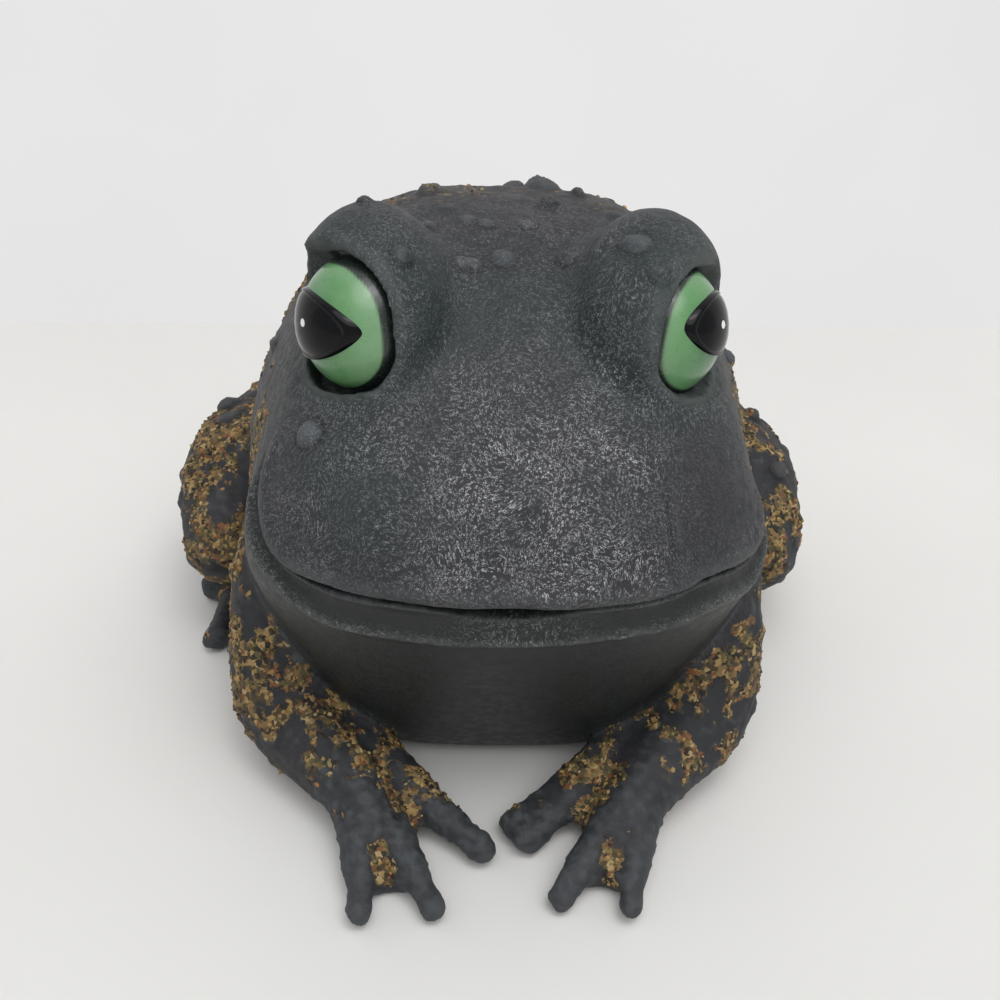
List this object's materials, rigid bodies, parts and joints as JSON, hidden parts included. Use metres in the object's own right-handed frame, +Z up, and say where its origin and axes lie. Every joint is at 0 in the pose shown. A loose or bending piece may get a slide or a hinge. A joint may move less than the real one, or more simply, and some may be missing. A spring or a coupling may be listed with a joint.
{
  "type": "frog figurine",
  "caption": "Sitting frog ornament: hollow cast body with glued legs, domed green eyes with raised pupils, and a flat padded base to stand on.",
  "frame": {"origin": "middle of the figure's outline on the ground", "axes": "+Z up, the face looks along -Y, the frog's own left side is +X"},
  "size_m": [0.1758, 0.19, 0.139],
  "materials": {
    "casting": "matt painted cast resin, dry brushed",
    "leg_casting": "matt painted cast resin with grit",
    "closing_plate": "matt",
    "pad": "felt",
    "eye_green": "satin pearl paint",
    "pupil_black": "high gloss"
  },
  "bodies": {
    "root": {"body_shell": "casting", "belly_plate": "closing_plate", "base_pad": "pad", "front_leg_left": "leg_casting", "front_leg_right": "leg_casting", "hind_leg_left": "leg_casting", "hind_leg_right": "leg_casting", "eye_left": "eye_green", "eye_right": "eye_green", "pupil_left": "pupil_black", "pupil_right": "pupil_black"}
  },
  "joints": []
}
